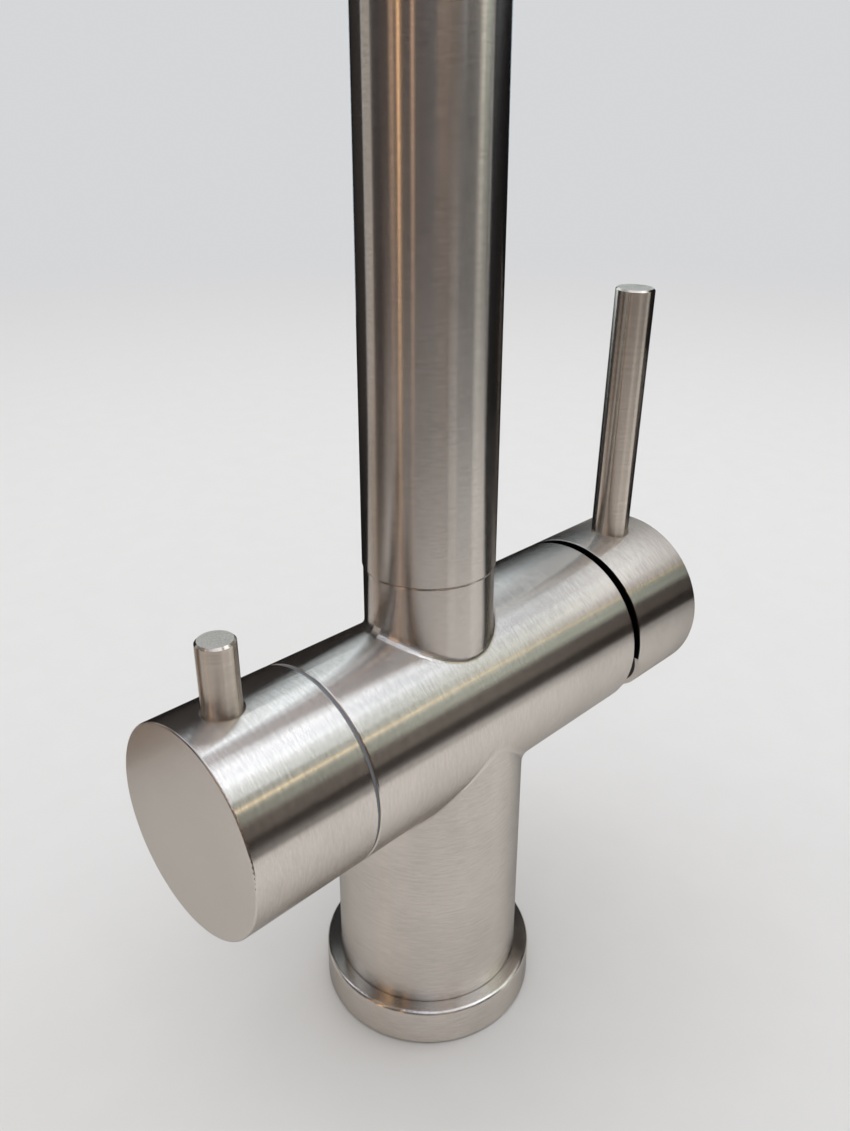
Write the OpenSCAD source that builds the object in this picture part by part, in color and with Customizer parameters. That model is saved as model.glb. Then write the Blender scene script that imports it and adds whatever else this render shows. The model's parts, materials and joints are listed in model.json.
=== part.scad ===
/* [Column and flange] */
// How far the column's surface stays inside the barrel's
column_inset = 0.1; // [0:0.1:2]
// Outer diameter of the base flange
flange_d = 55.5; // [54:0.5:70]
// Height of the flange's top face above the worktop
flange_top = 10.6; // [8:0.2:16]
// Radius of the flange's rounded upper edge
flange_edge_r = 1; // [0.4:0.1:2]
// Thickness of the lip inside the flange that the column stands on
flange_lip_t = 2.4; // [1.5:0.1:3]
// Thickness of the rubber gasket under the flange
gasket_t = 0.8; // [0.5:0.1:2]
// How far the gasket stays back from the flange's rim
gasket_inset = 0.9; // [0.4:0.1:2]

/* [Barrel] */
// Diameter of the cross barrel and of both knobs
barrel_d = 48; // [46:0.5:56]
// Height of the barrel's axis above the worktop
barrel_axis_z = 86.5; // [80:0.5:110]
// Distance from the column's axis to the barrel's filter end
barrel_filter_len = 38; // [37:0.5:50]
// Distance from the column's axis to the barrel's mixer end
barrel_mixer_len = 55.2; // [54:0.2:64]
// Radius of the polished weld between column and barrel
column_blend_r = 3.6; // [1:0.2:6]
// Radius of the polished weld between neck and barrel
neck_blend_r = 2.2; // [1:0.2:4]
// Rounding of the barrel's end edges
edge_r = 0.4; // [0.2:0.1:0.8]

/* [Neck and swivel] */
// Diameter of the neck that carries the spout
neck_d = 31; // [29:0.2:34]
// Height of the neck's upper end above the worktop
neck_top_z = 124.6; // [120:0.2:150]
// Diameter of the bore in the neck that the spout's nipple turns in
swivel_bore_d = 24; // [22:0.2:25]
// Depth of that bore below the neck's upper end
swivel_bore_depth = 32.6; // [30:0.2:33]
// Free height under the nipple where mixed water gathers
sump_h = 6; // [5:0.5:8]
// Height of the thin seam between neck and spout
seam_h = 0.3; // [0.2:0.05:0.6]
// Bore of the nipple around the inner tube
nipple_bore_d = 14; // [12:0.2:15]
// Depth of the groove that the locking screw runs in
lock_groove_depth = 1.2; // [0.8:0.1:1.6]
// Distance of the locking screw below the neck's upper end
lock_screw_drop = 7; // [6:0.2:8]
// Diameter of the locking screw
lock_screw_d = 4; // [3:0.5:5]
// Width of the grooves for the nipple's rings
ring_groove_h = 2.6; // [2:0.1:3]
// Depth of those grooves
ring_groove_depth = 1.6; // [1.2:0.1:2]
// Length of the nipple that is held in the spout tube
spout_seat_h = 16; // [12:0.5:24]
// Depth of the socket that the inner tube stands in
inner_socket_depth = 5; // [4:0.5:6]
// Thickness of the seal round the inner tube's foot
inner_seal_t = 1.5; // [1:0.1:2.5]

/* [Spout] */
// Outer diameter of the spout tube
spout_d = 31.6; // [30:0.2:34]
// Wall of the spout tube
spout_wall = 1.2; // [1:0.1:1.6]
// Height where the riser ends and the arch starts
riser_top_z = 300; // [260:1:360]
// Radius of the arch along the middle of the tube
arch_r = 85; // [60:1:110]
// Straight drop from the end of the arch to the outlet
outlet_drop = 30; // [24:1:60]
// Diameter of the inner tube that carries the filtered water
inner_tube_d = 6.4; // [6:0.1:7]
// Wall of the inner tube
inner_tube_wall = 0.8; // [0.6:0.1:1]

/* [Outlet] */
// Length of the threaded bush inside the end of the spout
end_bush_len = 14; // [12:0.5:18]
// Wall of that bush
end_bush_wall = 1.6; // [1.2:0.1:2]
// Height of the aerator's visible rim below the spout
aerator_rim_h = 1.6; // [1:0.1:3]
// Height of the aerator's threaded skirt
aerator_skirt_h = 9; // [8:0.5:10]
// Wall of the aerator's skirt
aerator_wall = 1.5; // [1.2:0.1:2]
// Width of the notches for the aerator's key
key_notch_w = 3; // [2:0.1:4]
// Depth of those notches
key_notch_depth = 0.9; // [0.5:0.1:1.2]
// Thickness of the perforated insert
insert_t = 4; // [3:0.2:5]
// Diameter of one hole in the insert
insert_hole_d = 1.6; // [1:0.1:1.8]
// Web between two holes of the insert
insert_web = 0.8; // [0.6:0.1:1.2]
// Thickness of the washer above the aerator
aerator_washer_t = 1.5; // [1:0.1:2.5]
// Diameter of the nozzle for filtered water
nozzle_d = 9; // [8.6:0.2:10]
// Length of that nozzle
nozzle_len = 15; // [14:0.5:18]

/* [Mixer cartridge] */
// Diameter of the cartridge
cartridge_d = 35; // [34:0.5:36]
// Wall between the neck's bore and the cartridge's seat
cartridge_seat_wall = 5; // [4:0.2:6]
// Depth of the cartridge's shoulder in the barrel
cartridge_shoulder_depth = 10.2; // [9.6:0.2:11]
// Diameter of the collar above the shoulder
cartridge_collar_d = 28; // [27:0.5:29]
// Length of that collar
cartridge_collar_len = 7.6; // [7:0.2:8]
// Diameter of the turning part inside the cartridge
rotor_d = 22; // [21:0.2:23]
// Length of the turning part
rotor_len = 15; // [14:0.5:16]
// Width of the slot that the stem swings in
rotor_slot_w = 8.4; // [8.2:0.1:9]
// Wall left at both ends of that slot
rotor_end_wall = 1.4; // [1:0.1:1.8]
// Across flats of the square stem
stem_w = 8; // [7:0.1:8]
// Diameter of the pin that the stem tilts on
stem_pin_d = 3; // [2:0.1:3.6]
// Distance from the pin to the inner tip of the stem
stem_tail = 6; // [4:0.5:6]
// Diameter of the stem's inner tip
stem_tail_d = 6; // [5:0.2:6.4]
// Distance from the pin to the outer end of the stem
stem_reach = 30; // [26:1:31]
// How far the nut's thread is cut past the cartridge's shoulder
nut_thread_runout = 0.6; // [0.4:0.1:1.2]
// Share of the wall round the cartridge that the nut's thread takes
nut_thread_share = 0.52; // [0.4:0.01:0.6]
// Thickness of the nut that holds the cartridge
cartridge_nut_t = 7.4; // [6:0.2:7.6]
// Width of the spanner notches in that nut
nut_notch_w = 3.6; // [2:0.2:5]
// Depth of those notches
nut_notch_depth = 1.8; // [1:0.1:2.4]
// Thickness of the lip seals under the cartridge
cartridge_seal_t = 1.2; // [0.8:0.1:1.4]
// Depth of the ports in the cartridge's foot
cartridge_port_depth = 7; // [4:0.5:8]
// Diameter of the pegs that keep the cartridge from turning
peg_d = 4; // [3:0.2:4.6]
// Length of those pegs in the cartridge's seat
peg_len = 3; // [2:0.2:3.4]
// Distance of the pegs from the barrel's axis
peg_spread = 13.4; // [13:0.1:13.6]
// Gap between the black cover ring and the thread round it
cover_ring_gap = 0.5; // [0.3:0.1:1.5]
// Wall of the black cover ring
cover_ring_wall = 4; // [2:0.1:5]
// How far the cover ring stands out of the barrel
cover_ring_proud = 1.8; // [0.3:0.1:1.9]

/* [Mixer knob] */
// Gap between barrel and mixer knob
mixer_gap = 2.5; // [2.2:0.1:3]
// Length of the mixer knob
mixer_knob_len = 28.3; // [27:0.1:36]
// Wall of the knob's rim
mixer_rim_wall = 2.3; // [2:0.1:3]
// Depth of the hollow behind the rim
mixer_hollow_depth = 9.4; // [9.2:0.1:10.4]
// Slant of the cut that lets the knob tilt
mixer_cut_angle = 29; // [27:0.5:32]
// Distance of that cut's start below the knob's axis
mixer_cut_drop = 2.3; // [2:0.1:3]
// Distance from the tilting axis to the knob's rim
mixer_pivot_depth = 7.7; // [7.2:0.1:8]
// Distance from the knob's rim to the lever
mixer_lever_offset = 15.8; // [15:0.2:19]
// Diameter of the mixer lever
mixer_lever_d = 10.4; // [8:0.2:11]
// Length of the mixer lever above the knob
mixer_lever_len = 69.5; // [50:0.5:90]
// How far the lever is let into the knob
mixer_lever_seat = 9.5; // [8:0.5:11]
// Lean of the mixer lever towards the user at rest
mixer_lever_turn = 1.8; // [0:0.2:6]

/* [Filter valve] */
// Diameter of the thread that holds the valve
valve_thread_d = 21; // [20:0.2:22]
// Depth of the valve's bay in the barrel
valve_bay_depth = 22; // [21.4:0.2:22.4]
// Depth of the counterbore for the valve's hexagon
valve_recess_depth = 7; // [6:0.2:8]
// Across flats of the valve's hexagon
valve_hex_af = 24; // [23:0.5:26]
// Diameter of the valve's gland outside the barrel
valve_gland_d = 15; // [13:0.5:17]
// Length of that gland outside the barrel
valve_gland_len = 8; // [6:0.5:9]
// Diameter of the spindle
spindle_d = 9; // [8:0.2:9.6]
// Depth of the flat on the spindle that the knob's screw bears on
spindle_flat_depth = 1; // [0.5:0.1:1.5]
// Diameter of the ceramic discs
disc_d = 13; // [12:0.2:13.6]
// Thickness of one ceramic disc
disc_t = 2.6; // [2:0.2:3]
// Diameter of the two holes in a disc
disc_hole_d = 3.2; // [2.4:0.2:3.4]
// Thickness of the rubber seal under the discs
seat_seal_t = 1.4; // [1:0.1:2]

/* [Filter knob] */
// Thickness of the washer between barrel and filter knob
knob_washer_t = 0.6; // [0.4:0.1:1]
// Length of the filter knob
filter_knob_len = 31.3; // [30:0.2:36]
// Depth of the hollow in the filter knob
filter_hollow_depth = 10; // [9.4:0.2:11]
// Wall of the filter knob's rim, and width of the washer that it runs on
filter_rim_wall = 7; // [4:0.5:8]
// Thickness of the metal behind the spindle's end
filter_end_wall = 6; // [4:0.5:8]
// Distance from the knob's near face to the lever
filter_lever_offset = 20; // [19:0.2:22]
// Diameter of the filter lever
filter_lever_d = 8.5; // [7:0.1:9]
// Length of the filter lever above the knob
filter_lever_len = 16; // [10:0.5:30]
// How far the filter lever is let into the knob
filter_lever_seat = 10.5; // [8:0.5:11]
// Lean of the filter lever away from the user at rest
filter_lever_turn = 1.4; // [0:0.2:4]

/* [Lever ends and screws] */
// Width of the bevel at the top of a lever
lever_bevel = 0.5; // [0.2:0.1:1]
// Width of the countersink round a lever
lever_countersink = 0.6; // [0.3:0.1:1]
// Diameter of the thread on both levers and of the screws under them
grub_d = 6; // [4:0.5:6]
// Length of a lever's threaded tip
lever_tip_len = 3.6; // [2:0.2:4]

/* [Fixing under the worktop] */
// Diameter of the threaded shank
shank_d = 33; // [32:0.5:34]
// Bore of the shank that the hoses pass through
shank_bore_d = 28; // [27.6:0.2:29]
// Length of the shank below the worktop's surface
shank_len = 62; // [56:1:90]
// Length of the shank's thread inside the column
shank_grip = 12; // [10:0.5:16]
// Thickness of the worktop between flange and clamp
worktop_t = 30; // [12:1:36]
// Outer diameter of the clamping rings
clamp_d = 54; // [48:1:60]
// Thickness of the rubber ring
clamp_rubber_t = 3; // [2:0.5:4]
// Thickness of the steel ring
clamp_ring_t = 2; // [1.5:0.1:3]
// Thickness of the fixing nut
fixing_nut_t = 8; // [6:0.5:10]
// Across flats of the fixing nut
fixing_nut_af = 44; // [42:1:48]

/* [Water ways] */
// Bore of the threaded inlets
inlet_bore_d = 9; // [8:0.2:9.4]
// Depth of the threaded inlets
inlet_depth = 11; // [8:0.5:14]
// Distance of the hot and cold inlets in front of and behind the barrel's axis
inlet_spread = 7.5; // [7.4:0.1:8]
// Distance of the hot and cold inlets from the column's axis along the barrel
inlet_mixer_x = 5.5; // [5:0.1:5.6]
// Distance of the filter inlet from the column's axis along the barrel
inlet_filter_x = 9; // [8:0.2:9.2]
// Bore of the water ways
way_d = 5; // [4:0.2:5.6]
// Drop of the hot and cold ways below the barrel's axis
supply_drop = 6; // [5.6:0.1:7]
// Rise of the mixed water's way above the barrel's axis
mixed_rise = 9; // [8.6:0.1:10]

/* [Hidden] */

$fn = 96;

// Clearances and the overrun of every cut
run_gap = 0.05;
thread_gap = 0.1;
loose_gap = 0.3;
over = 1;

// Wall round the small ports and under the discs
port_wall = 1;

// The welds: points along the arc and round the post, the overlap with the
// solids, the root inside them, and where the equal cylinders end the weld
blend_arc_steps = 6;
blend_turn_steps = 36;
blend_sink = 0.03;
blend_root = 0.7;
blend_end_angle = 66;

// Radii of the outer forms
barrel_r = barrel_d / 2;
column_r = barrel_r - column_inset;
neck_r = neck_d / 2;
spout_r = spout_d / 2;
spout_in_r = spout_r - spout_wall;

// Heights of the column's foot, the shank's seat and the neck's bore
column_foot_z = gasket_t + flange_lip_t;
shank_seat_z = column_foot_z + shank_grip;
swivel_floor_z = neck_top_z - swivel_bore_depth;
nipple_foot_z = swivel_floor_z + sump_h;
spout_foot_z = neck_top_z + seam_h;
lock_screw_z = neck_top_z - lock_screw_drop;

// Places along the barrel, mixer side
mixer_rim_x = barrel_mixer_len + mixer_gap;
pivot_x = mixer_rim_x - mixer_pivot_depth;
cartridge_seat_x = swivel_bore_d / 2 + cartridge_seat_wall;
cartridge_shoulder_x = barrel_mixer_len - cartridge_shoulder_depth;
cartridge_top_x = cartridge_shoulder_x + cartridge_collar_len;
cartridge_nut_x = cartridge_shoulder_x;
cover_ring_x = cartridge_nut_x + cartridge_nut_t;
rotor_foot_x = cartridge_top_x + loose_gap - rotor_len;
mixer_lever_x = mixer_rim_x + mixer_lever_offset;
mixer_hollow_r = barrel_r - mixer_rim_wall;
cartridge_bay_r = cartridge_d / 2 + loose_gap;
nut_thread_r = cartridge_bay_r + nut_thread_share * (barrel_r - cartridge_bay_r);
cover_ring_r = nut_thread_r - cover_ring_gap;
cover_ring_bore_r = cover_ring_r - cover_ring_wall;
stem_tip_x = pivot_x + stem_reach;

// Places along the barrel, filter side, counted away from the column
filter_near_x = barrel_filter_len + knob_washer_t + run_gap;
filter_end_x = filter_near_x + filter_knob_len;
valve_seat_x = barrel_filter_len - valve_bay_depth;
valve_collar_x = barrel_filter_len - valve_recess_depth;
gland_end_x = barrel_filter_len + valve_gland_len;
filter_lever_x = filter_near_x + filter_lever_offset;
filter_hollow_r = barrel_r - filter_rim_wall;
spindle_end_x = filter_end_x - filter_end_wall;
fixed_disc_x = valve_seat_x + seat_seal_t;
turning_disc_x = fixed_disc_x + disc_t;
spindle_foot_x = turning_disc_x + disc_t;

// The valve's ring of water, and the way that leads it to the neck
valve_thread_r = valve_thread_d / 2 - thread_gap;
chamber_r = disc_d / 2 + run_gap + port_wall + loose_gap;
outlet_way_y = (valve_thread_d / 2 + chamber_r) / 2;
outlet_way_r = outlet_way_y - chamber_r - thread_gap;

// The outlet, and how far the parts inside it reach
outlet_y = -2 * arch_r;
outlet_z = riser_top_z - outlet_drop;
end_bush_r = spout_in_r - run_gap;
aerator_r = end_bush_r - end_bush_wall - thread_gap;
insert_r = aerator_r - aerator_wall - run_gap;
aerator_foot_z = outlet_z - aerator_rim_h;
insert_z = aerator_foot_z + aerator_rim_h;
nozzle_foot_z = aerator_foot_z;
nozzle_top_z = nozzle_foot_z + nozzle_len;
inner_tube_r = inner_tube_d / 2;
inner_foot_z = swivel_floor_z - inner_socket_depth + loose_gap;
inner_top_z = nozzle_top_z - inner_socket_depth;

// The nipple and the heights of its rings inside the neck
nipple_r = swivel_bore_d / 2 - run_gap;
nipple_bore_r = nipple_bore_d / 2;
nipple_top_z = spout_foot_z + spout_seat_h;
ring_pitch = 2 * ring_groove_h;
o_ring_zs = [nipple_foot_z + ring_pitch, nipple_foot_z + 2 * ring_pitch];
slide_ring_zs = [nipple_foot_z + ring_groove_h / 2, neck_top_z - ring_groove_h];

// Screw tips and lever seats
grub_r = grub_d / 2;
stem_half = stem_w / 2;
rotor_slot_half = rotor_slot_w / 2;
mixer_lever_foot = barrel_r - mixer_lever_seat;
filter_lever_foot = barrel_r - filter_lever_seat;

// The clamp under the worktop
clamp_rubber_z = -worktop_t - clamp_rubber_t;
clamp_ring_z = clamp_rubber_z - clamp_ring_t;
fixing_nut_z = clamp_ring_z - fixing_nut_t;

steel = "silver";
dark_steel = "gray";
black = "dimgray";

// A solid cylinder along the barrel's axis between two places
module rod_x(r, x0, x1) {
    translate([x0, 0, barrel_axis_z])
        rotate([0, 90, 0])
            cylinder(r = r, h = x1 - x0);
}

// The same on the filter side, where places count away from the column
module rod_filter(r, x0, x1) {
    rod_x(r, -x1, -x0);
}

// A cylinder standing on z0
module rod_z(r, z0, z1) {
    translate([0, 0, z0])
        cylinder(r = r, h = z1 - z0);
}

// A tube standing on z0
module tube_z(r_out, r_in, z0, z1) {
    difference() {
        rod_z(r_out, z0, z1);
        rod_z(r_in, z0 - over, z1 + over);
    }
}

// A cylinder with its upper edge rounded
module round_top(r, h, edge) {
    rotate_extrude() {
        square([r - edge, h]);
        square([r, h - edge]);
        translate([r - edge, h - edge])
            circle(r = edge);
    }
}

// A cylinder with both edges rounded
module round_ends(r, h, edge) {
    rotate_extrude() {
        square([r - edge, h]);
        translate([0, edge])
            square([r, h - 2 * edge]);
        for (z = [edge, h - edge])
            translate([r - edge, z])
                circle(r = edge);
    }
}

// A cylinder with both edges bevelled
module bevelled(r, h, edge) {
    cylinder(r1 = r - edge, r2 = r, h = edge);
    translate([0, 0, edge])
        cylinder(r = r, h = h - 2 * edge);
    translate([0, 0, h - edge])
        cylinder(r1 = r, r2 = r - edge, h = edge);
}

// Turns what follows so that its Z axis runs along the barrel to the mixer side
module to_mixer(x) {
    translate([x, 0, barrel_axis_z])
        rotate([0, 90, 0])
            children();
}

// Turns what follows so that its Z axis runs along the barrel to the filter side
module to_filter(x) {
    translate([-x, 0, barrel_axis_z])
        rotate([0, -90, 0])
            children();
}

// Stands what follows upright on the barrel's axis at one place along it
module upright(x, turn) {
    translate([x, 0, barrel_axis_z])
        rotate([turn, 0, 0])
            children();
}

// Turns a piece of the mixer with its lever's lean at rest
module mixer_turned() {
    translate([0, 0, barrel_axis_z])
        rotate([mixer_lever_turn, 0, 0])
            translate([0, 0, -barrel_axis_z])
                children();
}

// Turns a piece of the filter valve with its lever's lean at rest
module filter_turned() {
    translate([0, 0, barrel_axis_z])
        rotate([-filter_lever_turn, 0, 0])
            translate([0, 0, -barrel_axis_z])
                children();
}

// The rolled weld between an upright post and the barrel: a ball of radius
// ball_r rolls along the joint and touches both. Each ring of points runs from
// a root inside both solids to the post, over the ball's arc, to the barrel.
function ball_centre(a, post_r, beam_r, ball_r) =
    let (reach = post_r + ball_r, y = reach * sin(a))
    [reach * cos(a), y, sqrt((beam_r + ball_r) * (beam_r + ball_r) - y * y)];

function to_post(a) = [-cos(a), -sin(a), 0];

function to_beam(centre) =
    -[0, centre[1], centre[2]] / norm([0, centre[1], centre[2]]);

function arc_point(centre, u, v, share, ball_r) =
    let (whole = acos(u * v))
    centre + ball_r * (u * sin((1 - share) * whole) + v * sin(share * whole))
        / sin(whole);

function blend_ring(a, post_r, beam_r, ball_r) =
    let (
        centre = ball_centre(a, post_r, beam_r, ball_r),
        u = to_post(a),
        v = to_beam(centre),
        y = post_r * sin(a)
    )
    concat(
        [[(post_r - blend_root) * cos(a), (post_r - blend_root) * sin(a),
            sqrt(beam_r * beam_r - y * y) - blend_root]],
        [centre + (ball_r + blend_sink) * u],
        [for (i = [1 : blend_arc_steps - 1])
            arc_point(centre, u, v, i / blend_arc_steps, ball_r)],
        [centre + (ball_r + blend_sink) * v]
    );

// A blend swept from one angle round the post to another, open or closed
module saddle_blend(post_r, beam_r, ball_r, from, to, closed) {
    steps = blend_turn_steps;
    rings = closed ? steps : steps + 1;
    size = blend_arc_steps + 2;
    points = [
        for (i = [0 : rings - 1])
            each blend_ring(from + (to - from) * i / steps, post_r, beam_r, ball_r)
    ];
    sides = [
        for (i = [0 : steps - 1], j = [0 : size - 1])
            let (
                a = i * size + j,
                b = i * size + (j + 1) % size,
                c = ((i + 1) % rings) * size + (j + 1) % size,
                d = ((i + 1) % rings) * size + j
            )
            each [[a, c, b], [a, d, c]]
    ];
    caps = closed ? [] : [
        [for (j = [0 : size - 1]) j],
        [for (j = [size - 1 : -1 : 0]) steps * size + j]
    ];
    polyhedron(points = points, faces = concat(sides, caps), convexity = 6);
}

module column_blend() {
    for (side = [0, 180])
        translate([0, 0, barrel_axis_z])
            mirror([0, 0, 1])
                rotate([0, 0, side])
                    saddle_blend(column_r, barrel_r, column_blend_r,
                        -blend_end_angle, blend_end_angle, false);
}

module neck_blend() {
    translate([0, 0, barrel_axis_z])
        saddle_blend(neck_r, barrel_r, neck_blend_r, 0, 360, true);
}

module body_outside() {
    rod_z(column_r, column_foot_z, barrel_axis_z);
    to_mixer(0)
        round_top(barrel_r, barrel_mixer_len, edge_r);
    to_filter(0)
        round_top(barrel_r, barrel_filter_len, edge_r);
    translate([0, 0, barrel_axis_z])
        round_top(neck_r, neck_top_z - barrel_axis_z, edge_r);
    column_blend();
    neck_blend();
}

// The cartridge's bay, the thread of its nut and the neck's bore
module body_bays() {
    rod_x(cartridge_bay_r, cartridge_seat_x, barrel_mixer_len + over);
    rod_x(nut_thread_r, cartridge_nut_x - nut_thread_runout, barrel_mixer_len + over);
    cartridge_pegs(peg_d / 2 + thread_gap, cartridge_seat_x - peg_len - loose_gap,
        cartridge_seat_x + over);
    rod_filter(valve_thread_d / 2, valve_seat_x, barrel_filter_len + over);
    rod_filter(valve_hex_af / 2 / cos(30) + loose_gap, valve_collar_x, barrel_filter_len + over);
    rod_z(swivel_bore_d / 2, swivel_floor_z, neck_top_z + over);
    rod_z(inner_tube_r + run_gap, swivel_floor_z - inner_socket_depth, swivel_floor_z + over);
    rod_z(shank_d / 2, column_foot_z - over, shank_seat_z);
    translate([0, 0, lock_screw_z])
        rotate([-90, 0, 0])
            cylinder(r = lock_screw_d / 2, h = neck_r + over);
}

// The drilled ways: hot and cold to the cartridge, mixed water to the neck,
// filter water to its valve and from there under the inner tube
module body_ways() {
    way_r = way_d / 2;
    supply_z = barrel_axis_z - supply_drop;
    for (y = [-inlet_spread, inlet_spread]) {
        translate([inlet_mixer_x, y, 0]) {
            rod_z(inlet_bore_d / 2, shank_seat_z - over, shank_seat_z + inlet_depth);
            rod_z(way_r, shank_seat_z, supply_z);
        }
        translate([inlet_mixer_x, y, -supply_drop])
            rod_x(way_r, -way_r, cartridge_seat_x - inlet_mixer_x + over);
    }
    translate([0, 0, mixed_rise])
        rod_x(way_r, 0, cartridge_seat_x + over);
    translate([-inlet_filter_x, 0, 0]) {
        rod_z(inlet_bore_d / 2, shank_seat_z - over, shank_seat_z + inlet_depth);
        rod_z(way_r, shank_seat_z, barrel_axis_z);
    }
    rod_filter(way_r, inlet_filter_x - way_r, valve_seat_x + over);
    translate([0, outlet_way_y, 0])
        rod_filter(outlet_way_r, -outlet_way_r, valve_seat_x + over);
    translate([0, 0, barrel_axis_z])
        rotate([-90, 0, 0])
            cylinder(r = outlet_way_r, h = outlet_way_y);
    rod_z(outlet_way_r, barrel_axis_z, swivel_floor_z);
}

module body() {
    color(steel)
        difference() {
            body_outside();
            body_bays();
            body_ways();
        }
}

module base_flange() {
    color(steel)
        difference() {
            translate([0, 0, gasket_t])
                round_top(flange_d / 2, flange_top - gasket_t, flange_edge_r);
            rod_z(column_r + thread_gap, column_foot_z, flange_top + over);
            rod_z(shank_d / 2 + loose_gap, -over, flange_top);
        }
}

module base_gasket() {
    color(black)
        tube_z(flange_d / 2 - gasket_inset, shank_d / 2 + loose_gap, 0, gasket_t);
}

module mounting_shank() {
    color("goldenrod")
        tube_z(shank_d / 2 - thread_gap, shank_bore_d / 2, -shank_len, shank_seat_z);
}

module clamp_rubber() {
    color(black)
        tube_z(clamp_d / 2, shank_d / 2 + loose_gap, clamp_rubber_z, -worktop_t);
}

module clamp_ring() {
    color(dark_steel)
        tube_z(clamp_d / 2, shank_d / 2 + loose_gap, clamp_ring_z, clamp_rubber_z);
}

// A hexagon nut whose corners are turned off by a shallow cone
module fixing_nut() {
    corner_r = fixing_nut_af / 2 / cos(30);
    color("goldenrod")
        translate([0, 0, fixing_nut_z])
            difference() {
                intersection() {
                    cylinder(r = corner_r, h = fixing_nut_t, $fn = 6);
                    bevelled(corner_r, fixing_nut_t, corner_r - fixing_nut_af / 2);
                }
                translate([0, 0, -over])
                    cylinder(r = shank_d / 2, h = fixing_nut_t + 2 * over);
            }
}

// The ports on the cartridge's foot, hot, cold and mixed
module cartridge_ports(r, x0, x1) {
    for (y = [-inlet_spread, inlet_spread])
        translate([0, y, -supply_drop])
            rod_x(r, x0, x1);
    translate([0, 0, mixed_rise])
        rod_x(r, x0, x1);
}

// Two pegs beside the cartridge's axis
module cartridge_pegs(r, x0, x1) {
    for (y = [-peg_spread, peg_spread])
        translate([0, y, 0])
            rod_x(r, x0, x1);
}

module cartridge_housing() {
    foot_x = cartridge_seat_x + cartridge_seal_t;
    color("white")
        difference() {
            union() {
                rod_x(cartridge_d / 2, foot_x, cartridge_shoulder_x);
                rod_x(cartridge_collar_d / 2, foot_x, cartridge_top_x);
                cartridge_pegs(peg_d / 2, cartridge_seat_x - peg_len, foot_x);
            }
            rod_x(rotor_d / 2 + run_gap, rotor_foot_x - loose_gap, cartridge_top_x + over);
            cartridge_ports(way_d / 2, foot_x - over, foot_x + cartridge_port_depth);
        }
}

// Three lip seals between the cartridge's foot and its seat
module cartridge_seal() {
    color(black)
        difference() {
            cartridge_ports(way_d / 2 + port_wall, cartridge_seat_x,
                cartridge_seat_x + cartridge_seal_t);
            cartridge_ports(way_d / 2, cartridge_seat_x - over,
                cartridge_seat_x + cartridge_seal_t + over);
        }
}

// The nut has notches in its outer face for a pin spanner
module cartridge_nut() {
    color("goldenrod")
        difference() {
            rod_x(nut_thread_r - thread_gap, cartridge_nut_x, cover_ring_x);
            rod_x(cartridge_collar_d / 2 + loose_gap, cartridge_nut_x - over, cover_ring_x + over);
            for (turn = [0 : 90 : 270])
                upright(cover_ring_x, turn)
                    translate([-nut_notch_depth, -nut_notch_w / 2, cover_ring_bore_r])
                        cube([nut_notch_depth + over, nut_notch_w, nut_thread_r]);
        }
}

module cover_ring() {
    top_x = barrel_mixer_len + cover_ring_proud;
    color(black)
        difference() {
            to_mixer(cover_ring_x)
                round_top(cover_ring_r, top_x - cover_ring_x, edge_r);
            rod_x(cover_ring_bore_r, cover_ring_x - over, top_x + over);
        }
}

// The turning part has a slot for the stem and a cross hole for its pin
module cartridge_rotor() {
    slot_end_r = rotor_d / 2 - rotor_end_wall;
    slot_half_h = sqrt(slot_end_r * slot_end_r - rotor_slot_half * rotor_slot_half);
    color("white")
        mixer_turned()
            difference() {
                rod_x(rotor_d / 2, rotor_foot_x, rotor_foot_x + rotor_len);
                translate([pivot_x - stem_tail - stem_half, -rotor_slot_half,
                        barrel_axis_z - slot_half_h])
                    cube([rotor_len, rotor_slot_w, 2 * slot_half_h]);
                upright(pivot_x, 90)
                    cylinder(r = stem_pin_d / 2, h = rotor_d + over, center = true);
            }
}

module stem_pin() {
    color(dark_steel)
        mixer_turned()
            upright(pivot_x, 90)
                cylinder(r = (stem_pin_d - run_gap) / 2, h = rotor_d - 2 * loose_gap,
                    center = true);
}

module cartridge_stem() {
    color(dark_steel)
        mixer_turned()
            difference() {
                union() {
                    translate([pivot_x - stem_half, -stem_half, barrel_axis_z - stem_half])
                        cube([stem_reach + stem_half, stem_w, stem_w]);
                    rod_x(stem_tail_d / 2, pivot_x - stem_tail, pivot_x);
                }
                upright(pivot_x, 90)
                    cylinder(r = stem_pin_d / 2 + run_gap, h = stem_w + 2 * over, center = true);
            }
}

// The plane cut under the mixer knob's rim, which lets the knob tilt outwards
module mixer_rim_cut() {
    size = 2 * barrel_d;
    translate([mixer_rim_x, 0, barrel_axis_z - mixer_cut_drop])
        rotate([0, -mixer_cut_angle, 0])
            translate([-size, -size / 2, -size])
                cube([size, size, size]);
}

// The hole for a lever: its countersink, its seat and the thread below
module lever_hole(lever_r, foot) {
    hole_r = lever_r + run_gap;
    translate([0, 0, foot])
        cylinder(r = hole_r, h = barrel_r + over - foot);
    cylinder(r = grub_r, h = barrel_r);
    translate([0, 0, barrel_r - lever_countersink])
        cylinder(r1 = hole_r, r2 = hole_r + 2 * lever_countersink, h = 2 * lever_countersink);
}

module mixer_knob() {
    socket_half = stem_half + run_gap;
    color(steel)
        mixer_turned()
            difference() {
                to_mixer(mixer_rim_x)
                    round_ends(barrel_r, mixer_knob_len, edge_r);
                rod_x(mixer_hollow_r, mixer_rim_x - over, mixer_rim_x + mixer_hollow_depth);
                mixer_rim_cut();
                translate([mixer_rim_x, -socket_half, barrel_axis_z - socket_half])
                    cube([stem_tip_x + loose_gap - mixer_rim_x, 2 * socket_half, 2 * socket_half]);
                upright(mixer_lever_x, 0)
                    lever_hole(mixer_lever_d / 2, mixer_lever_foot);
            }
}

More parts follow.
